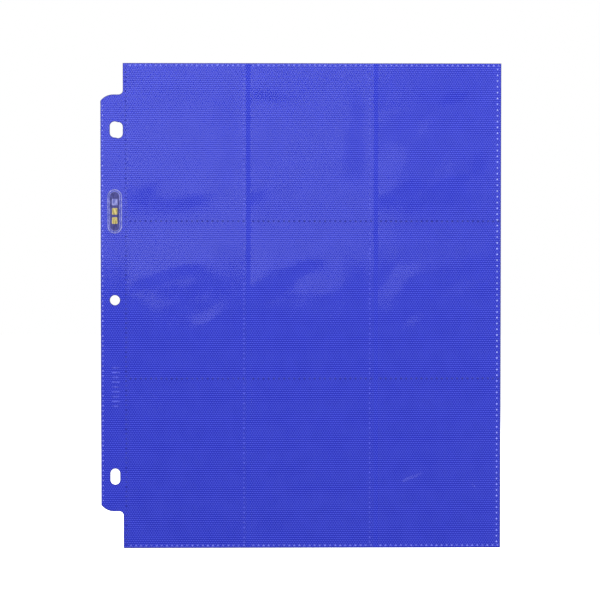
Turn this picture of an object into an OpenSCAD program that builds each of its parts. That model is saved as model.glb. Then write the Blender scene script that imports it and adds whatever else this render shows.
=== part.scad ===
// Side-loading card page for a three-ring binder: a coloured sheet with a binding
// tab, and three strips of clear film welded to each face as nine card pockets.
// X runs away from the binding, Z up the page and Y through its thickness, and the
// front faces -Y. The origin is the centre of the middle ring hole.

/* [Page] */
// Width of the pocketed page, without the tab that stands out of it
page_w = 235.1; // [200:0.1:290]
// Height of the page
page_h = 301.8; // [245:0.1:365]
// Thickness of the coloured sheet with its embossing
sheet_t = 0.45; // [0.3:0.05:0.6]
// Thickness of the clear film
film_t = 0.12; // [0.08:0.01:0.2]
// Height of the middle ring hole above the middle of the page
hole_above_middle = 3.8; // [0:0.1:6]

/* [Binding tab] */
// Width of the tab, from its outer edge to the edge of the page
tab_w = 13.9; // [12.5:0.1:20]
// Length of the tab beyond the centre of each ring slot
tab_end = 21.7; // [10:0.1:24]
// Radius of the curve at each outer corner of the tab
tab_corner_r = 10; // [4:0.5:12]
// How far along the tab's side that curve reaches
tab_corner_drop = 4; // [1:0.1:4.5]
// Radius of the hollow where each end of the tab runs into the page
tab_root_r = 2.6; // [0.5:0.1:4]

/* [Fold] */
// Distance of the fold from the edge of the page, where the tab's film is welded
fold_inset = 1.7; // [1:0.1:3]
// Thickness of the thin web that bends at the fold
web_t = 0.12; // [0.08:0.01:0.2]
// Clearance of the page's edge round the fold's bead
bead_clearance = 0.03; // [0.02:0.01:0.08]
// Clearance of the tab's edge from the page when it is folded square
fold_clearance = 0.04; // [0.03:0.01:0.1]

/* [Ring holes] */
// Distance of the holes' centre line from the outer edge of the tab
hole_inset = 8.8; // [6:0.1:9.5]
// Radius of the round middle hole
hole_r = 3.1; // [2.2:0.05:4]
// Half the width of each ring slot
slot_r = 2.95; // [2.2:0.05:4]
// Length of each ring slot, from end to end
slot_length = 9.9; // [8.5:0.1:14]
// Distance between the centres of the two ring slots
slot_spacing = 215.9; // [170:0.1:216]
// Distance of the middle of the two slots below the middle hole
slots_below_hole = 2; // [0:0.1:3]
// Shift across the tab of the upper slot's second punch
second_punch_across = 2.1; // [0.5:0.1:2.4]
// Shift down the tab of the upper slot's second punch
second_punch_down = 0.4; // [0:0.1:1.5]

/* [Film strips] */
// Width of the tab's film beyond the fold, up to the first pocket mouths
seam_w = 1.2; // [0.8:0.1:4]
// Width of the second and third strips; the first takes what is left
strip_w = 76.5; // [60:0.05:92]
// Bare sheet between one strip and the next
strip_gap = 2.85; // [1.5:0.05:6]
// Distance from the top weld line to the next
top_row_h = 96.5; // [70:0.1:116]
// Distance from that weld line to the one below it
middle_row_h = 97.9; // [70:0.1:117]

/* [Welds] */
// Width of the welded band along each weld line
weld_w = 3; // [1.5:0.1:5]
// Distance of a strip's closing weld line from its outer edge
side_weld_inset = 2.3; // [1.5:0.1:4]
// Distance of the top and bottom weld lines from the page's edges
end_weld_inset = 1.5; // [1.5:0.1:4]

/* [Pockets] */
// Slack between a pocket's film and the sheet behind it
pocket_slack = 0.25; // [0.1:0.05:1]
// Clearance around a pocket's loose film, next to the welded bands
pocket_clearance = 0.3; // [0.1:0.05:0.6]

/* [Badge] */
// Width of the printed badge
badge_w = 9; // [5:0.1:9.5]
// Height of the printed badge
badge_h = 27.4; // [18:0.1:40]
// Width of the badge's outer printed line
badge_line = 0.7; // [0.4:0.05:0.9]
// Gap between its two printed lines
badge_gap = 0.55; // [0.3:0.05:0.8]
// Width of its inner printed line
badge_inner_line = 0.35; // [0.2:0.05:0.5]
// Width of each plain card shape in the badge
badge_card_w = 3.4; // [1.5:0.1:4]
// Height of each card shape
badge_card_h = 4.1; // [2:0.1:5]
// Distance from one card shape to the next
badge_card_pitch = 5.75; // [5.2:0.05:7]
// Thickness of the printed foil
foil_t = 0.05; // [0.02:0.01:0.1]
// Height of the badge's centre above the middle hole
badge_above_hole = 55.2; // [40:0.1:60]

/* [Hidden] */
SIDES = ["front", "back"];
ROWS = ["top", "middle", "bottom"];
COLUMNS = [1, 2, 3];
$fn = 64;
corner_fn = 32;
overcut = 1;

// Across the page
tab_x = -hole_inset;
page_left = tab_x + tab_w;
page_right = page_left + page_w;
fold_x = page_left + fold_inset;
second_right = page_right - strip_w - strip_gap;
first_right = second_right - strip_w - strip_gap;
strip_rights = [first_right, second_right, page_right];
strip_mouths = [fold_x + seam_w, second_right - strip_w, page_right - strip_w];
closing_band_w = side_weld_inset + weld_w / 2;

// Up the page
page_top = page_h / 2 - hole_above_middle;
page_bottom = page_top - page_h;
top_weld = page_top - end_weld_inset;
second_weld = top_weld - top_row_h;
third_weld = second_weld - middle_row_h;
bottom_weld = page_bottom + end_weld_inset;
weld_lines = [top_weld, second_weld, third_weld, bottom_weld];
tab_top = slot_spacing / 2 - slots_below_hole + tab_end;
tab_bottom = -slot_spacing / 2 - slots_below_hole - tab_end;
upper_slot_z = slot_spacing / 2 - slots_below_hole;
lower_slot_z = -slot_spacing / 2 - slots_below_hole;

// Through the page, measured out from its middle plane
film_face = sheet_t / 2 + film_t;
pocket_under = sheet_t / 2 + pocket_slack;

// At the fold, where the page has to turn square to the tab either way
bead_r = sheet_t / 2;
tab_edge_x = fold_x - film_face - fold_clearance;
page_edge_x = fold_x + bead_r + bead_clearance;

sheet_blue = [0.25, 0.29, 0.8];
film_clear = [0.78, 0.84, 1, 0.3];
foil_silver = [0.78, 0.76, 0.92];

// A flat shape drawn as (x, z), given a thickness from y0 to y1
module plate(y0, y1) {
  rotate([90, 0, 0])
    translate([0, 0, -y1])
      linear_extrude(y1 - y0) children();
}

// A layer on one side of the page, from near to far out from its middle plane
module layer(side, near, far) {
  if (side == "front") plate(-far, -near) children();
  else plate(near, far) children();
}

// A rectangle between two corners
module rect(x0, z0, x1, z1) {
  translate([x0, z0]) square([x1 - x0, z1 - z0]);
}

// Points of an arc from angle a0 to angle a1
function arc(x, z, r, a0, a1) =
  [for (i = [0:corner_fn / 4]) let (a = a0 + (a1 - a0) * i * 4 / corner_fn)
    [x + r * cos(a), z + r * sin(a)]];

// The tab's outline, with the narrow edge of the page that lies before the fold:
// curves at its outer corners that meet its side at an angle, and hollow corners
// where it runs into the page
module tab_outline() {
  rise = asin(1 - tab_corner_drop / tab_corner_r);
  corner_x = tab_x + tab_corner_r * cos(rise);
  root_x = page_left - tab_root_r;
  polygon(concat(
    [[tab_edge_x, page_top], [page_left, page_top]],
    arc(root_x, tab_top + tab_root_r, tab_root_r, 360, 270),
    arc(corner_x, tab_top - tab_corner_r, tab_corner_r, 90, 180 - rise),
    arc(corner_x, tab_bottom + tab_corner_r, tab_corner_r, 180 + rise, 270),
    arc(root_x, tab_bottom - tab_root_r, tab_root_r, 90, 0),
    [[page_left, page_bottom], [tab_edge_x, page_bottom]]
  ));
}

// A round hole right through the page
module through_hole(x, z, r) {
  translate([x, 0, z])
    rotate([90, 0, 0])
      cylinder(r = r, h = 2 * (film_face + overcut), center = true);
}

// A ring slot, long up the page
module ring_slot(x, z) {
  centre_reach = slot_length / 2 - slot_r;
  through_hole(x, z + centre_reach, slot_r);
  through_hole(x, z - centre_reach, slot_r);
  plate(-film_face - overcut, film_face + overcut)
    rect(x - slot_r, z - centre_reach, x + slot_r, z + centre_reach);
}

// Everything that the rings pass through
module ring_holes() {
  through_hole(0, 0, hole_r);
  ring_slot(0, lower_slot_z);
  ring_slot(0, upper_slot_z);
  ring_slot(second_punch_across, upper_slot_z - second_punch_down);
}

// Coloured sheet behind the pockets
module divider_sheet() {
  color(sheet_blue)
    plate(-sheet_t / 2, sheet_t / 2)
      rect(page_edge_x, page_bottom, page_right, page_top);
}

// Coloured tab beyond the fold, with the ring holes
module binding_tab() {
  color(sheet_blue)
    difference() {
      plate(-sheet_t / 2, sheet_t / 2) tab_outline();
      ring_holes();
    }
}

// Living hinge along the fold: a thin web from the tab to a round bead
module fold_hinge() {
  color(sheet_blue)
    union() {
      plate(-web_t / 2, web_t / 2)
        rect(tab_edge_x, page_bottom, fold_x, page_top);
      translate([fold_x, 0, page_bottom])
        cylinder(r = bead_r, h = page_h);
    }
}

// Clear film that backs up the tab around its holes
module tab_film(side) {
  color(film_clear)
    difference() {
      layer(side, sheet_t / 2, film_face) tab_outline();
      ring_holes();
    }
}

// The same film's edge beyond the fold, welded to the page
module fold_seam(side) {
  color(film_clear)
    layer(side, sheet_t / 2, film_face)
      rect(page_edge_x, page_bottom, fold_x + seam_w, page_top);
}

// Welded bands of one strip: its closed edge, its two ends and between its pockets
module strip_welds(side, c) {
  mouth = strip_mouths[c - 1];
  right = strip_rights[c - 1];
  color(film_clear)
    layer(side, sheet_t / 2, film_face)
      union() {
        rect(right - closing_band_w, page_bottom, right, page_top);
        rect(mouth, top_weld - weld_w / 2, right, page_top);
        rect(mouth, second_weld - weld_w / 2, right, second_weld + weld_w / 2);
        rect(mouth, third_weld - weld_w / 2, right, third_weld + weld_w / 2);
        rect(mouth, page_bottom, right, bottom_weld + weld_w / 2);
      }
}

// Loose film of one pocket, open towards the binding
module pocket(side, r, c) {
  edge = weld_w / 2 + pocket_clearance;
  color(film_clear)
    layer(side, pocket_under, pocket_under + film_t)
      rect(
        strip_mouths[c - 1],
        weld_lines[r + 1] + edge,
        strip_rights[c - 1] - closing_band_w - pocket_clearance,
        weld_lines[r] - edge
      );
}

// A shape with fully round ends, long up the page, drawn in from the badge's outline
module pill(inset) {
  w = badge_w - 2 * inset;
  end_z = (badge_h - badge_w) / 2;
  translate([0, end_z]) circle(d = w);
  translate([0, -end_z]) circle(d = w);
  square([w, 2 * end_z], center = true);
}

// A line round the badge, from one inset to the next
module pill_line(inset, line_w) {
  difference() {
    pill(inset);
    pill(inset + line_w);
  }
}

// Foil badge: a double outline round three plain card shapes
module printed_badge() {
  color(foil_silver)
    translate([0, 0, badge_above_hole])
      plate(-film_face - foil_t, -film_face)
        union() {
          pill_line(0, badge_line);
          pill_line(badge_line + badge_gap, badge_inner_line);
          for (i = [-1:1])
            translate([0, i * badge_card_pitch])
              square([badge_card_w, badge_card_h], center = true);
        }
}

divider_sheet();
binding_tab();
fold_hinge();
printed_badge();
for (s = SIDES) {
  tab_film(s);
  fold_seam(s);
}
for (s = SIDES, c = COLUMNS)
  strip_welds(s, c);
for (s = SIDES, r = [0:2], c = COLUMNS)
  pocket(s, r, c);
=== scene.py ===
"""Looks of a side-loading card page for a three-ring binder.

A blue sheet with a binding tab, clear film welded to both faces as nine card
pockets a side, rows of weld marks and a small foil badge. Metres, in the CAD frame:
X runs away from the binding, Z up the page, and the front faces -Y.
"""
import math

import bpy
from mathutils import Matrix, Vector, geometry, noise


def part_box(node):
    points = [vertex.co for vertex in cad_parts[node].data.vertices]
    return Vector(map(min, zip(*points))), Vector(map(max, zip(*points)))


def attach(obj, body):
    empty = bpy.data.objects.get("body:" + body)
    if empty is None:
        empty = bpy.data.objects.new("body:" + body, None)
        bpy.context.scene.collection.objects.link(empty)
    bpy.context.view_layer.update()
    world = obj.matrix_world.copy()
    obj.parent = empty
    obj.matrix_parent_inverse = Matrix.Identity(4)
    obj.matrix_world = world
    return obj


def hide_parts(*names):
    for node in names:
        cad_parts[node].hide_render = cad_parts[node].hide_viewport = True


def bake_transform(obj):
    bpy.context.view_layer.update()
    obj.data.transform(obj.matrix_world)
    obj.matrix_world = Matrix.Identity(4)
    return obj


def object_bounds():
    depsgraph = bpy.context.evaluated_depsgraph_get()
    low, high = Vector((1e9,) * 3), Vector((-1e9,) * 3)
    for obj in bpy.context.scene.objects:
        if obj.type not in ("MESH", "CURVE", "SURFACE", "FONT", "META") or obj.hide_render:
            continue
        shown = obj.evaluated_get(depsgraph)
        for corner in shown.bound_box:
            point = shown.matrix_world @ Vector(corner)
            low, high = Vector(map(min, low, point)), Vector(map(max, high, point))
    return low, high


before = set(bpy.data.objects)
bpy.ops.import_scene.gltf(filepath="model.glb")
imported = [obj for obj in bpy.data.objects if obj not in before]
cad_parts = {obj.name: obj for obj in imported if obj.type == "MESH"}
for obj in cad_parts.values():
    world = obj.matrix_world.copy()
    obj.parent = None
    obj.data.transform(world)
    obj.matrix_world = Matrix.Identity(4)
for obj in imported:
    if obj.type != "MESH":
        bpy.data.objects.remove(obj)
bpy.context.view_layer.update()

MM = 0.001
SIDES = {"front": -1, "back": 1}
ROWS = ("top", "middle", "bottom")
COLUMNS = (1, 2, 3)

# --- The sizes that the frame gives -------------------------------------------------
TAB_LO, TAB_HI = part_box("binding_tab")
PAGE_LO, PAGE_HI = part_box("divider_sheet")
HINGE_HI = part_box("fold_hinge")[1]
SEAM_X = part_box("front_fold_seam")[1].x
BADGE_LO, BADGE_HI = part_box("printed_badge")
SHEET_FACE = PAGE_HI.y
FOLD_X = HINGE_HI.x - HINGE_HI.y
TAB_EDGE_X = TAB_HI.x
PAGE_RIGHT = PAGE_HI.x
PAGE_TOP, PAGE_BOTTOM = PAGE_HI.z, PAGE_LO.z

# --- Sizes of what is added here ----------------------------------------------------
BEND = SEAM_X - FOLD_X          # half the width that bends at the fold
FILM_GAP = 0.03 * MM            # between the sheet and film that is welded to it
TAB_FILM = 0.1 * MM             # thickness of the film over the tab
FILM = 0.06 * MM                # thickness of the pocket film
BULGE = 0.5 * MM                # how far an empty pocket stands open at its mouth
RIPPLE = 0.95 * MM              # height of the film's slack ripples
RIM = 0.65 * MM                 # width of the band along a cut edge, painted darker on the sheet as shade
MARK_HEIGHT = 0.06 * MM         # how far a weld mark stands out of the film
SINK = 0.01 * MM                # how deep a mark's foot sits in the film
GRID = 6 * MM                   # between the inner points of the sheet
FILM_CELL = 2.4 * MM            # between the points of the pocket film


def smooth(value):
    """Smoothstep of a value, held between 0 and 1."""
    value = max(0.0, min(1.0, value))
    return value * value * (3 - 2 * value)


# --- Meshes --------------------------------------------------------------------------
def flat_loops(node, y):
    """Closed loops of (x, z) points round the flat face of a CAD node at depth y, the
    outer one first."""
    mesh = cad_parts[node].data
    edges = set()
    for polygon in mesh.polygons:
        points = [mesh.vertices[i].co for i in polygon.vertices]
        if all(abs(p.y - y) < 1e-6 for p in points):
            keys = [(round(p.x, 7), round(p.z, 7)) for p in points]
            for edge in zip(keys, keys[1:] + keys[:1]):
                if edge[::-1] in edges:
                    edges.remove(edge[::-1])
                else:
                    edges.add(edge)
    following = dict(sorted(edges))
    loops = []
    while following:
        start = min(following)
        loop = [start]
        while True:
            point = following.pop(loop[-1])
            if point == start:
                break
            loop.append(point)
        loops.append(loop)
    return sorted(loops, key=lambda loop: -abs(area(loop)))


def area(loop):
    """Signed area of a closed loop, positive if it runs anticlockwise."""
    return sum(a[0] * b[1] - b[0] * a[1] for a, b in zip(loop, loop[1:] + loop[:1])) / 2


def turned(loop, sign):
    """The loop, run so that its area has this sign."""
    return loop if area(loop) * sign > 0 else loop[::-1]


def inset(loop, distance):
    """The loop moved to its left by a distance."""
    moved = []
    for before, here, after in zip(loop[-1:] + loop[:-1], loop, loop[1:] + loop[:1]):
        first = Vector((here[0] - before[0], here[1] - before[1])).normalized()
        second = Vector((after[0] - here[0], after[1] - here[1])).normalized()
        bisector = first.orthogonal() + second.orthogonal()
        reach = distance / max(0.35, bisector.length_squared / 2)
        moved.append((here[0] + bisector.x * reach, here[1] + bisector.y * reach))
    return moved


def inside(point, loop):
    """True if the point lies inside the loop."""
    x, z = point
    crossed = False
    for (x0, z0), (x1, z1) in zip(loop, loop[1:] + loop[:1]):
        if (z0 > z) != (z1 > z) and x < (x1 - x0) * (z - z0) / (z1 - z0) + x0:
            crossed = not crossed
    return crossed


def new_piece(name, vertices, faces, material, rest=None, rim=None):
    """A mesh object with a map of its points' places at rest, and how near each point
    is to a cut edge."""
    mesh = bpy.data.meshes.new(name)
    mesh.from_pydata(vertices, [], faces)
    layer = mesh.uv_layers.new(name="rest")
    for loop in mesh.loops:
        x, z = rest[loop.vertex_index] if rest else vertices[loop.vertex_index][::2]
        layer.data[loop.index].uv = (x, z)
    attribute = mesh.attributes.new("rim", "FLOAT", "POINT")
    attribute.data.foreach_set("value", rim or [0.0] * len(vertices))
    mesh.materials.append(material)
    mesh.update()
    piece = bpy.data.objects.new(name, mesh)
    bpy.context.scene.collection.objects.link(piece)
    return piece


def plate_piece(name, outer, holes, y0, y1, material):
    """A thin plate between two depths, with holes, and with columns of points close
    together where it bends at the fold."""
    outer = turned(outer, 1)
    holes = [turned(hole, -1) for hole in holes]
    points, edges = [], []

    def add_loop(loop):
        first = len(points)
        points.extend(Vector(p) for p in loop)
        count = len(loop)
        edges.extend((first + i, first + (i + 1) % count) for i in range(count))

    for loop in [outer] + holes:
        add_loop(loop)
    boundary_count = len(points)
    for loop in [outer] + holes:
        add_loop(inset(loop, RIM))
    xs = [p[0] for p in outer]
    zs = [p[1] for p in outer]
    across = [FOLD_X + BEND * k / 4 for k in range(-4, 5)]
    x = FOLD_X + BEND + GRID
    while x < max(xs) - GRID / 2:
        across.append(x)
        x += GRID
    rows = int((max(zs) - min(zs)) / GRID)
    for x in across:
        for i in range(rows):
            point = (x, min(zs) + (max(zs) - min(zs)) * (i + 0.5) / rows)
            if inside(point, outer) and not any(inside(point, hole) for hole in holes):
                points.append(Vector(point))
    found, _, triangles, origins, _, _ = geometry.delaunay_2d_cdt(
        points, edges, [], 0, 1e-8
    )
    flat = [(p.x, p.y) for p in found]
    kept = []
    for triangle in triangles:
        middle = tuple(sum(flat[i][k] for i in triangle) / 3 for k in (0, 1))
        if inside(middle, outer) and not any(inside(middle, hole) for hole in holes):
            kept.append(tuple(triangle))
    rim = [1.0 if any(i < boundary_count for i in from_) else 0.0 for from_ in origins]
    return closed_plate(name, flat, kept, lambda p: y0, lambda p: y1, material, rim)


def closed_plate(name, flat, faces, low_y, high_y, material, rim):
    """A closed mesh between a lower and an upper surface over the same flat faces."""
    used = sorted({i for face in faces for i in face})
    index = {old: new for new, old in enumerate(used)}
    flat = [flat[i] for i in used]
    rim = [rim[i] for i in used]
    faces = [tuple(index[i] for i in face) for face in faces]
    if area([flat[i] for i in faces[0]]) < 0:
        faces = [face[::-1] for face in faces]
    count = len(flat)
    vertices = [(x, low_y((x, z)), z) for x, z in flat]
    vertices += [(x, high_y((x, z)), z) for x, z in flat]
    sides = set()
    for face in faces:
        for a, b in zip(face, face[1:] + face[:1]):
            if (b, a) in sides:
                sides.remove((b, a))
            else:
                sides.add((a, b))
    solid = list(faces)
    solid += [tuple(i + count for i in face[::-1]) for face in faces]
    solid += [(b, a, a + count, b + count) for a, b in sorted(sides)]
    return new_piece(name, vertices, solid, material, rim=rim + rim)


def mark_outer(piece, side):
    """Tell a film's outer face, which mirrors, from the one next to the sheet."""
    count = len(piece.data.vertices) // 2
    low, high = (1.0, 0.0) if side < 0 else (0.0, 1.0)
    attribute = piece.data.attributes.new("outer", "FLOAT", "POINT")
    attribute.data.foreach_set("value", [low] * count + [high] * count)


def smooth_faces(piece):
    """Smooth shading over both faces of a thin piece, up to a sharp border."""
    mesh = piece.data
    borders = set()
    for polygon in mesh.polygons:
        polygon.use_smooth = abs(polygon.normal.y) > 0.5
        if not polygon.use_smooth:
            borders.update(polygon.edge_keys)
    for edge in mesh.edges:
        edge.use_edge_sharp = edge.key in borders


def marks_piece(name, marks, material, side, base, height=MARK_HEIGHT):
    """Low pads in one mesh. Each mark is (x, z, half width, half height)."""
    corners = 8
    vertices, faces = [], []
    for x, z, half_x, half_z in marks:
        first = len(vertices)
        for level, share in ((0.0, 1.0), (0.6, 0.86), (1.0, 0.55)):
            y = side * (base + height * level)
            for k in range(corners):
                turn = 2 * math.pi * (k + 0.5) / corners
                # a square with rounded corners
                reach = 1 / max(abs(math.cos(turn)), abs(math.sin(turn))) ** 0.6
                vertices.append((
                    x + half_x * share * reach * math.cos(turn),
                    y,
                    z + half_z * share * reach * math.sin(turn),
                ))
        rings = [[first + r * corners + k for k in range(corners)] for r in range(3)]
        for low, high in zip(rings, rings[1:]):
            for k in range(corners):
                n = (k + 1) % corners
                faces.append((low[k], low[n], high[n], high[k]))
        faces.append(tuple(rings[0][::-1]))
        faces.append(tuple(rings[-1]))
    if side > 0:
        faces = [face[::-1] for face in faces]
    return new_piece(name, vertices, faces, material)


def spaced(start, end, pitch):
    """Places from start to end, an even pitch apart and as near to the one asked."""
    count = max(1, round(abs(end - start) / pitch))
    return [start + (end - start) * (i + 0.5) / count for i in range(count)]


# --- Materials -----------------------------------------------------------------------
class Nodes:
    """Short calls for building a node tree."""

    def __init__(self, name):
        self.material = bpy.data.materials.new(name)
        self.material.use_nodes = True
        self.tree = self.material.node_tree
        self.tree.nodes.clear()

    def add(self, kind, inputs=None, **settings):
        node = self.tree.nodes.new(kind)
        for key, value in settings.items():
            setattr(node, key, value)
        for key, value in (inputs or {}).items():
            if isinstance(value, bpy.types.NodeSocket):
                self.tree.links.new(value, node.inputs[key])
            else:
                node.inputs[key].default_value = value
        return node

    def math(self, operation, a, b=0.0, c=0.0):
        node = self.add("ShaderNodeMath", {0: a, 1: b, 2: c}, operation=operation)
        return node.outputs[0]

    def ramp(self, value, low, high, to_low=0.0, to_high=1.0):
        node = self.add(
            "ShaderNodeMapRange",
            {0: value, 1: low, 2: high, 3: to_low, 4: to_high},
            interpolation_type="SMOOTHSTEP",
        )
        return node.outputs[0]

    def mix(self, share, a, b):
        node = self.add("ShaderNodeMix", data_type="RGBA")
        for key, value in ((0, share), (6, a), (7, b)):
            if isinstance(value, bpy.types.NodeSocket):
                self.tree.links.new(value, node.inputs[key])
            else:
                node.inputs[key].default_value = value
        return node.outputs[2]

    def rest(self):
        """The points' places at rest, in metres: X and Z as U and V."""
        return self.add("ShaderNodeUVMap", uv_map="rest").outputs[0]

    def noise(self, vector, scale, detail=2.0, stretch=(1, 1, 1), turn=0.0):
        place = self.add(
            "ShaderNodeMapping",
            {"Vector": vector, "Rotation": (0, 0, turn), "Scale": stretch},
        )
        node = self.add(
            "ShaderNodeTexNoise",
            {"Vector": place.outputs[0], "Scale": scale, "Detail": detail},
            noise_dimensions="2D",
        )
        return node.outputs[0]

    def stored(self, name):
        """A value that is stored on the mesh's points."""
        return self.add("ShaderNodeAttribute", attribute_name=name).outputs["Fac"]

    def finish(self, shader):
        out = self.add("ShaderNodeOutputMaterial")
        self.tree.links.new(shader.outputs[0], out.inputs[0])
        return self.material


def grey(value):
    return (value, value, value, 1)


DOT_PITCH = 1.5 * MM            # across the page, in a row of embossed dots
DOT_ROW = 1.2 * MM              # from one row to the next


def sheet_material():
    """Blue polypropylene, embossed all over with rows of small staggered dots; the dots'
    lighter colour is partly painted sheen and the cut edges get painted shade.
    """
    n = Nodes("embossed_blue_sheet")
    rest = n.rest()
    place = n.add("ShaderNodeSeparateXYZ", {0: rest})

    def wave(value, pitch):
        turn = n.math("MULTIPLY", value, 2 * math.pi / pitch)
        return n.math("COSINE", turn)

    across = wave(place.outputs[0], DOT_PITCH)
    up = wave(place.outputs[1], 2 * DOT_ROW)
    rows = wave(place.outputs[1], DOT_ROW)
    both = n.math("MULTIPLY", n.math("MULTIPLY", across, up), 0.5)
    dots = n.ramp(n.math("MULTIPLY_ADD", rows, 0.5, both), -0.5, 0.7)
    mottle = n.noise(rest, 90, 3)
    # Painted sheen: the light dot colour is whiter than the sheet's own blue, standing in
    # for the sheen off the embossed dots
    colour = n.mix(dots, (0.009, 0.019, 0.465, 1), (0.08, 0.102, 0.745, 1))
    cloudy = n.ramp(mottle, 0.3, 0.7, 0.0, 0.08)
    colour = n.mix(cloudy, colour, (0.08, 0.1, 0.8, 1))
    # Painted shade: the colour darkens along the cut edges and round the holes, standing
    # in for the edges' shading
    edge = n.math("MULTIPLY", n.stored("rim"), 0.9)
    colour = n.mix(edge, colour, (0.014, 0.018, 0.16, 1))
    bump = n.add(
        "ShaderNodeBump", {"Strength": 0.35, "Distance": 0.05 * MM, "Height": dots}
    )
    return n.finish(n.add("ShaderNodeBsdfPrincipled", {
        "Base Color": colour,
        "Roughness": n.ramp(mottle, 0.3, 0.7, 0.4, 0.5),
        "Specular IOR Level": n.ramp(dots, 0.0, 1.0, 0.03, 0.36),
        "Normal": bump.outputs[0],
    }))


MIRROR = 0.03                   # share of light that film mirrors, seen face on
MIRROR_GRAZING = 0.6            # and how much more it mirrors at a grazing angle
EDGE_HAZE = 0.03                # how much hazier its cut edges are


def film_material(name, haze, more_haze):
    """Clear film: it mirrors on its outer face, and is a little hazy in patches."""
    n = Nodes(name)
    rest = n.rest()
    broad = n.noise(rest, 16, 2.5, stretch=(0.7, 1.5, 1), turn=math.radians(38))
    fine = n.noise(rest, 55, 3, stretch=(0.6, 1.6, 1), turn=math.radians(30))
    patches = n.math("ADD", n.math("MULTIPLY", broad, 0.8), n.math("MULTIPLY", fine, 0.2))
    share = n.ramp(patches, 0.38, 0.64, haze, haze + more_haze)
    share = n.math("ADD", share, n.math("MULTIPLY", n.stored("rim"), EDGE_HAZE))
    facing = n.add("ShaderNodeLayerWeight", {"Blend": 0.5}).outputs["Facing"]
    grazing = n.math("POWER", facing, 5.0)
    mirror = n.math("MULTIPLY_ADD", grazing, MIRROR_GRAZING, MIRROR)
    mirror = n.math("MULTIPLY", mirror, n.stored("outer"))
    bump = n.add(
        "ShaderNodeBump", {"Strength": 0.12, "Distance": 0.5 * MM, "Height": patches}
    )
    gloss = n.add("ShaderNodeBsdfGlossy", {
        "Color": (0.95, 0.97, 1, 1),
        "Roughness": 0.1,
        "Normal": bump.outputs[0],
    })
    clear = n.add("ShaderNodeBsdfTransparent", {"Color": (0.965, 0.97, 1, 1)})
    glossy = n.add(
        "ShaderNodeMixShader", {0: mirror, 1: clear.outputs[0], 2: gloss.outputs[0]}
    )
    milky = n.add("ShaderNodeBsdfDiffuse", {"Color": (0.28, 0.32, 0.95, 1)})
    return n.finish(n.add(
        "ShaderNodeMixShader", {0: share, 1: glossy.outputs[0], 2: milky.outputs[0]}
    ))


def mark_material(name, dark, light, roughness):
    """Film and sheet fused into one at a weld, with a grainy colour. The colour also holds
    painted light: shade on the dark marks and a highlight on the light ones.
    """
    n = Nodes(name)
    grain = n.ramp(n.noise(n.rest(), 700, 2), 0.35, 0.65)
    return n.finish(n.add("ShaderNodeBsdfPrincipled", {
        "Base Color": n.mix(grain, dark, light),
        "Roughness": roughness,
    }))


def foil_material(name, dark, light):
    """Printed metal foil, brushed a little by wear."""
    n = Nodes(name)
    wear = n.ramp(n.noise(n.rest(), 900, 3, stretch=(1, 0.35, 1)), 0.35, 0.7)
    return n.finish(n.add("ShaderNodeBsdfPrincipled", {
        "Base Color": n.mix(wear, light, dark),
        "Metallic": 0.2,
        "Roughness": n.ramp(wear, 0.0, 1.0, 0.3, 0.5),
    }))


SHEET = sheet_material()
POCKET_FILM = film_material("clear_pocket_film", 0.001, 0.004)
TAB_FILM_LOOK = film_material("clear_tab_film", 0.001, 0.003)
# Partly painted shade: the row marks are darker blue where the film is fused to the sheet,
# and darker still as painted shade of the weld's dimple
DARK_MARK = mark_material(
    "fused_weld_painted_shade", (0.01, 0.015, 0.3, 1), (0.02, 0.028, 0.42, 1), 0.6
)
# Partly painted shade, as on the row marks
FOLD_MARK = mark_material(
    "fold_weld", (0.012, 0.018, 0.34, 1), (0.026, 0.036, 0.46, 1), 0.6
)
# Painted highlight: the marks along the outer edges are coloured far lighter than the
# sheet, standing in for the shine of those welds
PAINTED_HIGHLIGHT_MARK = mark_material(
    "weld_painted_highlight", (0.22, 0.26, 0.92, 1), (0.38, 0.42, 1.0, 1), 0.3
)
# Painted highlight: the end marks at the page's top and bottom are coloured lighter than
# the sheet, standing in for their shine
EDGE_MARK = mark_material(
    "edge_weld_painted_highlight", (0.08, 0.1, 0.66, 1), (0.19, 0.22, 0.88, 1), 0.3
)
SOFT_MARK = mark_material(
    "soft_weld", (0.045, 0.06, 0.58, 1), (0.1, 0.12, 0.76, 1), 0.4
)
SILVER = foil_material("silver_foil", (0.12, 0.14, 0.5, 1), (0.34, 0.35, 0.72, 1))
GOLD = foil_material("gold_foil", (0.32, 0.27, 0.07, 1), (0.72, 0.6, 0.22, 1))
FIELD = foil_material("badge_field", (0.03, 0.03, 0.16, 1), (0.07, 0.07, 0.3, 1))


# --- The blue sheet and the film over the tab -----------------------------------------
tab_loops = flat_loops("binding_tab", TAB_LO.y)
TAB_OUTLINE, HOLES = tab_loops[0], tab_loops[1:]


def outline_to(right):
    """The tab's outline, with the edge at the fold moved out to another place."""
    return [(right if abs(x - TAB_EDGE_X) < 1e-5 else x, z) for x, z in TAB_OUTLINE]


def bend_at_fold(piece):
    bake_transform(piece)


sheet = plate_piece(
    "blue_sheet", outline_to(PAGE_RIGHT), HOLES, -SHEET_FACE, SHEET_FACE, SHEET
)
bend_at_fold(sheet)
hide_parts("binding_tab", "fold_hinge", "divider_sheet")

TAB_FACE = SHEET_FACE + FILM_GAP + TAB_FILM
for name, side in SIDES.items():
    near = side * (SHEET_FACE + FILM_GAP)
    far = side * TAB_FACE
    film = plate_piece(
        f"{name}_tab_film", outline_to(SEAM_X), HOLES,
        min(near, far), max(near, far), TAB_FILM_LOOK,
    )
    mark_outer(film, side)
    bend_at_fold(film)
    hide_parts(f"tab_film_{name}", f"{name}_fold_seam")

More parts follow.
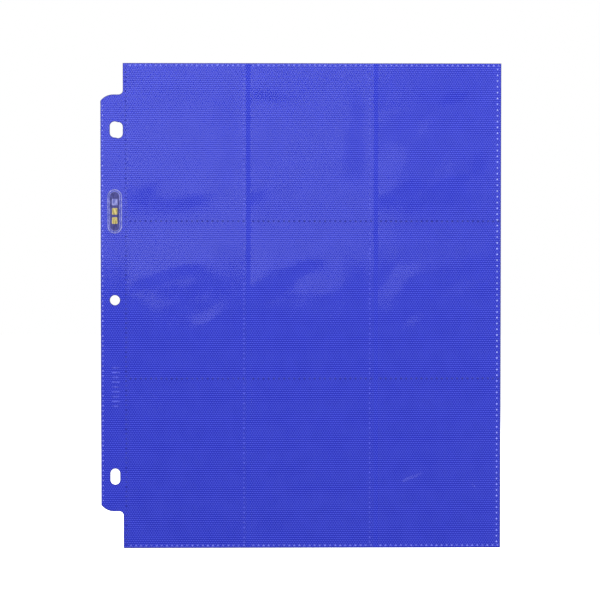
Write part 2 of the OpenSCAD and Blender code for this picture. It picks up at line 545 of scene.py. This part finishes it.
# --- Pocket film ----------------------------------------------------------------------
FILM_FACE = SHEET_FACE + FILM_GAP + FILM
RIPPLE_LENGTH = 34 * MM         # of a broad ripple, along its slant
RIPPLE_WIDTH = 20 * MM
CREASE_HEIGHT = 0.5 * MM
MOUTH_EASE = 1.1                # how soon the bulge grows from the closed side
END_EASE = 3.2                  # how soon the slack grows from a pocket's two ends
SIDE_EASE = 4                   # and from its closed side


def ripple(x, z, seed):
    """Slack in a film, from 0 to 1: broad ripples that slant up to the right."""
    along = (x * 0.8 + z * 0.6) / RIPPLE_LENGTH
    over = (z * 0.8 - x * 0.6) / RIPPLE_WIDTH
    broad = noise.noise(Vector((along, over, seed)))
    fine = noise.noise(Vector((along * 2.3, over * 2.1, seed + 50)))
    return 0.5 + 0.5 * broad + 0.14 * fine


def crease(x, z, start, end, width):
    """A soft ridge along a line from start to end, from 0 to 1."""
    a, b, p = Vector(start), Vector(end), Vector((x, z))
    along = (p - a).dot(b - a) / (b - a).length_squared
    if not 0 < along < 1:
        return 0.0
    off = (p - a.lerp(b, along)).length / width
    return math.exp(-off * off) * math.sin(math.pi * along)


# Creases in the last pocket of the front, in mm right and up from its lower left
# corner: start, end and width
CREASES = (
    ((14, 12), (74, 3), 1.6), ((22, 30), (60, 17), 1.8), ((10, 38), (34, 48), 1.5),
    ((44, 34), (58, 8), 1.6), ((52, 44), (72, 26), 1.7), ((30, 8), (40, 26), 1.4),
)


def film_piece(name, side, row, column, seed):
    """One pocket's film, out to its weld lines and its strip's edges, standing off the
    sheet at its mouth."""
    node_lo, node_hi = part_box(f"{name}_pocket_{row}_{column}")
    weld_lo, weld_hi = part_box(f"{name}_strip_{column}_welds")
    # the film reaches the weld lines, or the page's own edge at the top and bottom
    boxes = [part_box(f"{name}_pocket_{r}_{column}") for r in ROWS]
    order = ROWS.index(row)
    top = weld_hi.z if order == 0 else (node_hi.z + boxes[order - 1][0].z) / 2
    bottom = weld_lo.z if order == 2 else (node_lo.z + boxes[order + 1][1].z) / 2
    left, right = weld_lo.x, weld_hi.x
    creases = CREASES if (name, row, column) == ("front", "bottom", 3) else ()
    # each pocket hangs its own way: how far open, and whether higher or lower
    fullness = 0.75 + 0.5 * noise.noise(Vector((seed, 0.3, 0.7)))
    lean = 1.0 + 0.8 * noise.noise(Vector((0.2, seed, 0.9)))
    cell = FILM_CELL / 2 if creases else FILM_CELL
    nx = round((right - left) / cell)
    nz = round((top - bottom) / cell)

    def lift(point):
        x, z = point
        # from 0 to 1: s from the closed side to the mouth, t from the bottom up
        s = (node_hi.x - x) / (node_hi.x - node_lo.x)
        t = (z - node_lo.z) / (node_hi.z - node_lo.z)
        if s <= 0 or not 0 < t < 1:
            return 0.0
        hold = fullness * math.sin(math.pi * t ** lean) * smooth(s * MOUTH_EASE)
        ends = smooth(t * END_EASE) * smooth((1 - t) * END_EASE)
        slack = ends * smooth(s * SIDE_EASE)
        height = BULGE * hold + RIPPLE * slack * ripple(x, z, seed)
        for start, end, crease_width in creases:
            height += CREASE_HEIGHT * slack * crease(
                (x - left) / MM, (z - bottom) / MM, start, end, crease_width
            )
        return height

    xs = [left + (right - left) * i / nx for i in range(nx + 1)]
    zs = [bottom + (top - bottom) * k / nz for k in range(nz + 1)]
    # the cut edges at the mouth and at the closed side each have a narrow column
    xs = sorted(set(xs) | {left + RIM, right - RIM})
    flat = [(x, z) for z in zs for x in xs]
    rim = [1.0 if x in (xs[0], xs[-1]) else 0.0 for _ in zs for x in xs]
    width = len(xs)
    faces = [
        (k * width + i, k * width + i + 1, (k + 1) * width + i + 1, (k + 1) * width + i)
        for k in range(len(zs) - 1) for i in range(width - 1)
    ]
    near = SHEET_FACE + FILM_GAP

    def inner(point):
        return side * (near + lift(point))

    def outer(point):
        return side * (near + FILM + lift(point))

    low, high = (outer, inner) if side < 0 else (inner, outer)
    piece = closed_plate(
        f"{name}_film_{row}_{column}", flat, faces, low, high, POCKET_FILM, rim
    )
    mark_outer(piece, side)
    smooth_faces(piece)
    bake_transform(piece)
    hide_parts(f"{name}_pocket_{row}_{column}")


seed = 0
for name, side in SIDES.items():
    for row in ROWS:
        for column in COLUMNS:
            film_piece(name, side, row, column, seed * 7.3 + 0.37)
            seed += 1

# --- Weld marks -----------------------------------------------------------------------
ROW_PITCH = 3.15 * MM
COLUMN_PITCH = 3.1 * MM
EDGE_PITCH = 3.6 * MM
FOLD_PITCH = 3.0 * MM
LONG, SHORT = 0.66 * MM, 0.56 * MM      # half sizes of a mark, along and across
ROW_MARK_WIDER = 1.1            # the rows' marks are wider across,
CLOSING_MARK_SHARE = 0.85       # and the other lines' are smaller
FOLD_MARK_SHARE = 0.9
TAB_MARK_SHARE = 0.6
CLOSING_INSETS = {1: 1.4 * MM, 2: 2.35 * MM, 3: 2.35 * MM}     # from a strip's edge
TAB_MARK_INSET = 1.25 * MM


def weld_lines(name, column):
    """Heights of a strip's four lines of marks, from the top."""
    boxes = [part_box(f"{name}_pocket_{row}_{column}") for row in ROWS]
    weld_lo, weld_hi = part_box(f"{name}_strip_{column}_welds")
    middles = [(a[0].z + b[1].z) / 2 for a, b in zip(boxes, boxes[1:])]
    edge = middles[0] - boxes[1][1].z
    return [boxes[0][1].z + edge, *middles, boxes[2][0].z - edge], weld_lo, weld_hi


for name, side in SIDES.items():
    for column in COLUMNS:
        lines, lo, hi = weld_lines(name, column)
        closing_x = hi.x - CLOSING_INSETS[column]
        right_edge = column == COLUMNS[-1]
        dark, light = [], []
        for k, z in enumerate(lines):
            for x in spaced(lo.x, hi.x, ROW_PITCH):
                mark = (x, z, LONG, SHORT * ROW_MARK_WIDER)
                (dark if k in (1, 2) else light).append(mark)
        pitch = EDGE_PITCH if right_edge else COLUMN_PITCH
        closing = [
            (closing_x, z, SHORT * CLOSING_MARK_SHARE, LONG * CLOSING_MARK_SHARE)
            for z in spaced(lo.z + 2 * MM, hi.z - 2 * MM, pitch)
        ]
        base = FILM_FACE - SINK
        pieces = [
            marks_piece(f"{name}_strip_{column}_row_marks", dark, DARK_MARK, side, base),
            marks_piece(f"{name}_strip_{column}_end_marks", light, EDGE_MARK, side, base),
            marks_piece(
                f"{name}_strip_{column}_closing_marks", closing,
                PAINTED_HIGHLIGHT_MARK if right_edge else SOFT_MARK, side, base,
            ),
        ]
        for piece in pieces:
            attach(piece, "page")
        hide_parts(f"{name}_strip_{column}_welds")

for name, side in SIDES.items():
    base = TAB_FACE - SINK
    fold = [
        (FOLD_X, z, SHORT * FOLD_MARK_SHARE, LONG * FOLD_MARK_SHARE)
        for z in spaced(PAGE_BOTTOM + MM, PAGE_TOP - MM, FOLD_PITCH)
    ]
    marks = marks_piece(f"{name}_fold_marks", fold, FOLD_MARK, side, base)
    bend_at_fold(marks)
    tab_top = max(z for x, z in TAB_OUTLINE if x < -2 * MM)
    tab_bottom = min(z for x, z in TAB_OUTLINE if x < -2 * MM)
    outer = [
        (TAB_LO.x + TAB_MARK_INSET, z, SHORT * TAB_MARK_SHARE, LONG * TAB_MARK_SHARE)
        for z in spaced(tab_bottom + 5 * MM, tab_top - 5 * MM, COLUMN_PITCH)
    ]
    marks = marks_piece(f"{name}_tab_marks", outer, PAINTED_HIGHLIGHT_MARK, side, base)
    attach(marks, "binding")

# --- Badge and embossing on the tab ---------------------------------------------------
BADGE_X = (BADGE_LO.x + BADGE_HI.x) / 2
BADGE_Z = (BADGE_LO.z + BADGE_HI.z) / 2
BADGE_W = BADGE_HI.x - BADGE_LO.x
BADGE_H = BADGE_HI.z - BADGE_LO.z


def pill(width, height, steps=14):
    """A loop with round ends round the badge's middle, long up the page."""
    radius = width / 2
    loop = []
    for end in (1, -1):
        for k in range(steps + 1):
            turn = math.pi * k / steps + (0 if end > 0 else math.pi)
            loop.append((
                BADGE_X + radius * math.cos(turn),
                BADGE_Z + end * (height / 2 - radius) + radius * math.sin(turn),
            ))
    return loop


def band_piece(name, outer, inner, y0, y1, material):
    """A closed flat band between two loops with as many points, or a whole plate."""
    count = len(outer)
    flat = list(outer)
    if inner:
        flat += inner
        faces = [
            (i, (i + 1) % count, count + (i + 1) % count, count + i) for i in range(count)
        ]
    else:
        faces = [tuple(range(count))]
    rim = [0.0] * len(flat)
    return closed_plate(name, flat, faces, lambda p: y0, lambda p: y1, material, rim)


LINE = 0.7 * MM                 # the badge's outer line
LINE_GAP = 0.55 * MM            # between its two lines
INNER_LINE = 0.35 * MM
CARD_W, CARD_H = 3.4 * MM, 4.1 * MM
CARD_CORNER = 0.5 * MM
CARD_PITCH = 5.75 * MM
FOIL = 0.04 * MM
FOIL_GAP = 0.002 * MM           # between the foil and the tab's film
BADGE_FACE = -TAB_FACE


def badge_band(name, outer, inner, height, material):
    """A band of foil between two insets from the badge's outline, or a whole plate."""
    return band_piece(
        name, pill(BADGE_W - 2 * outer, BADGE_H - 2 * outer),
        pill(BADGE_W - 2 * inner, BADGE_H - 2 * inner) if inner else None,
        BADGE_FACE - height, BADGE_FACE - FOIL_GAP, material,
    )


within = LINE + LINE_GAP
badge_parts = [
    badge_band("badge_outline", 0, LINE, FOIL, SILVER),
    badge_band("badge_inner_line", within, within + INNER_LINE, FOIL, SILVER),
    badge_band("badge_field", within + INNER_LINE + 0.05 * MM, None, 0.5 * FOIL, FIELD),
]
for k in (-1, 0, 1):
    z = BADGE_Z + k * CARD_PITCH
    rounded = []
    for cx, cz, start in ((1, 1, 0), (-1, 1, 90), (-1, -1, 180), (1, -1, 270)):
        for step in range(4):
            turn = math.radians(start + step * 30)
            rounded.append((
                BADGE_X + cx * (CARD_W / 2 - CARD_CORNER) + CARD_CORNER * math.cos(turn),
                z + cz * (CARD_H / 2 - CARD_CORNER) + CARD_CORNER * math.sin(turn),
            ))
    badge_parts.append(band_piece(
        f"badge_card_{k + 2}", rounded, None,
        BADGE_FACE - 1.4 * FOIL, BADGE_FACE - 0.4 * FOIL, SILVER if k > 0 else GOLD,
    ))
for piece in badge_parts:
    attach(piece, "binding")
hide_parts("printed_badge")

RIB_X, RIB_HALF_LENGTH, RIB_HALF_WIDTH = 0.4 * MM, 2.6 * MM, 0.5 * MM
ribs = [
    (RIB_X, z * MM, RIB_HALF_LENGTH, RIB_HALF_WIDTH) for z in range(-66, -41, 3)
]
embossing = marks_piece(
    "tab_embossed_ribs", ribs, SOFT_MARK, -1, TAB_FACE - SINK, 0.05 * MM
)
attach(embossing, "binding")

# --- Floor, light and camera ----------------------------------------------------------
lo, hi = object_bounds()
middle = (lo + hi) / 2


def floor_material():
    n = Nodes("pale_floor")
    tone = n.ramp(n.noise(n.rest(), 1.2, 2), 0.3, 0.7)
    return n.finish(n.add("ShaderNodeBsdfPrincipled", {
        "Base Color": n.mix(tone, grey(0.92), grey(0.96)),
        "Roughness": 0.8,
        "Emission Color": grey(1),
        "Emission Strength": 0.8,
    }))


FLOOR_HALF = 5.0
FLOOR_BELOW = 0.08
corners = [
    (x * FLOOR_HALF, y * FLOOR_HALF) for x, y in ((-1, -1), (1, -1), (1, 1), (-1, 1))
]
floor = new_piece(
    "floor", [(x, y, lo.z - FLOOR_BELOW) for x, y in corners], [(0, 1, 2, 3)],
    floor_material(), rest=corners,
)
floor.visible_diffuse = False
floor.visible_glossy = False

WORLD_LIGHT = 0.275             # the camera sees plain white instead
world = bpy.data.worlds.new("studio")
bpy.context.scene.world = world
world.use_nodes = True
tree = world.node_tree
tree.nodes.clear()
path = tree.nodes.new("ShaderNodeLightPath")
seen = tree.nodes.new("ShaderNodeBackground")
seen.inputs[0].default_value = grey(1)
seen.inputs[1].default_value = 1.0
lit = tree.nodes.new("ShaderNodeBackground")
lit.inputs[0].default_value = (0.97, 0.98, 1, 1)
lit.inputs[1].default_value = WORLD_LIGHT
mixed = tree.nodes.new("ShaderNodeMixShader")
out = tree.nodes.new("ShaderNodeOutputWorld")
tree.links.new(path.outputs["Is Camera Ray"], mixed.inputs[0])
tree.links.new(lit.outputs[0], mixed.inputs[1])
tree.links.new(seen.outputs[0], mixed.inputs[2])
tree.links.new(mixed.outputs[0], out.inputs[0])


def area_light(name, place, size, energy, height=None):
    """A light set off from the middle of the page: a disc that is aimed at it, or a
    rectangle that looks straight along Y if it has a height."""
    data = bpy.data.lights.new(name, "AREA")
    data.shape = "RECTANGLE" if height else "DISK"
    data.size = size
    if height:
        data.size_y = height
    data.energy = energy
    lamp = bpy.data.objects.new(name, data)
    lamp.location = middle + Vector(place)
    towards = Vector((0, -place[1], 0)) if height else -Vector(place)
    lamp.rotation_euler = towards.to_track_quat("-Z", "Y").to_euler()
    lamp.visible_camera = False
    bpy.context.scene.collection.objects.link(lamp)


area_light("key_light", (-0.75, -0.9, 0.75), 0.7, 9.8)
area_light("fill_light", (0.95, -1.1, 0.15), 1.0, 9.2)
area_light("high_light", (0.1, -1.3, 1.3), 1.2, 8.6)
area_light("low_light", (-0.9, -0.9, -0.55), 0.36, 0.4)
area_light("back_light", (0.5, 1.2, 0.8), 1.0, 19)
area_light("low_back_light", (0.85, 0.85, -0.32), 0.36, 0.4)
# panes behind the camera, mirrored in the film over the upper half of the page
area_light("left_pane", (-0.235, -1.6, 0.233), 0.39, 0.66, 0.434)
area_light("middle_pane", (0.065, -1.6, 0.233), 0.21, 0.29, 0.434)
area_light("right_pane", (0.32, -1.6, 0.25), 0.3, 0.14, 0.4)

scene = bpy.context.scene
scene.view_settings.view_transform = "Standard"
scene.view_settings.look = "None"

CAMERA_AZIMUTH = math.radians(-0.716)
CAMERA_ELEVATION = math.radians(1.238)
CAMERA_DISTANCE = 1.0563
AIM_SHIFT = Vector((-0.66, 0, 3.9)) * MM
aim = middle + AIM_SHIFT
back = Vector((
    math.sin(CAMERA_AZIMUTH) * math.cos(CAMERA_ELEVATION),
    -math.cos(CAMERA_AZIMUTH) * math.cos(CAMERA_ELEVATION),
    math.sin(CAMERA_ELEVATION),
))
lens = bpy.data.cameras.new("camera")
lens.lens = 101.8
lens.sensor_width = 36
lens.clip_start, lens.clip_end = 0.01, 50
camera = bpy.data.objects.new("camera", lens)
camera.location = aim + back * CAMERA_DISTANCE
camera.rotation_euler = (-back).to_track_quat("-Z", "Y").to_euler()
scene.collection.objects.link(camera)
scene.camera = camera
